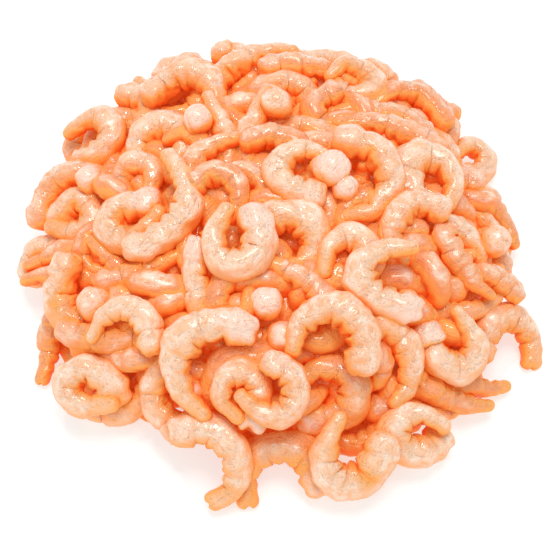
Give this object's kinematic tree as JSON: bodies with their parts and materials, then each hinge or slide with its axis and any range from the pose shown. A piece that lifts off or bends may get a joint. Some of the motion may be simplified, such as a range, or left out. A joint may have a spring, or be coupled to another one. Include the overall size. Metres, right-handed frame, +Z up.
{
  "type": "heap of peeled shrimp",
  "caption": "Low round heap of small peeled cooked shrimp, curled and lying loose over each other.",
  "frame": {"origin": "middle of the heap's footprint, on the surface that it lies on", "axes": "+Z up; the side that the picture was taken from faces -Y"},
  "size_m": [0.1698, 0.1704, 0.0491],
  "materials": {
    "shrimp_flesh": "moist cooked shrimp flesh, peach to orange with pale head ends"
  },
  "bodies": {
    "root": {"shrimp_heap": "shrimp_flesh"}
  },
  "joints": []
}
